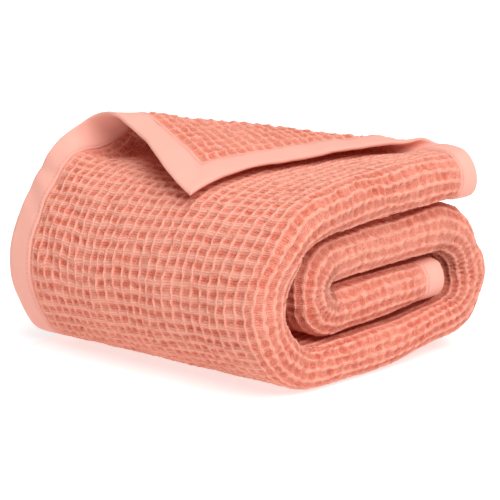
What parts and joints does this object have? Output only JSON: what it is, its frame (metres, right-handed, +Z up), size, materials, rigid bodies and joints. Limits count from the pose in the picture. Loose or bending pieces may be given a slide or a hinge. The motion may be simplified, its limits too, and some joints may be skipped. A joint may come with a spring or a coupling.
{
  "type": "waffle weave blanket",
  "caption": "Waffle weave cotton blanket with plain binding, folded and rolled flat, with one corner turned back.",
  "frame": {"origin": "on the surface it rests on, in the middle of the folded blanket's plan", "axes": "+Z up; Y along the roll's axis, with the near folds facing -Y and the bound sides +Y; the strip's free end points to +X"},
  "size_m": [0.3118, 0.3001, 0.21],
  "materials": {
    "waffle_weave": "coral cotton, honeycomb weave",
    "plain_weave": "coral cotton, smooth plain weave"
  },
  "bodies": {
    "root": {"waffle_cloth": "waffle_weave", "binding_side_outer": "plain_weave", "binding_side_inner": "plain_weave", "binding_end_outer": "plain_weave", "binding_end_inner": "plain_weave"}
  },
  "joints": []
}
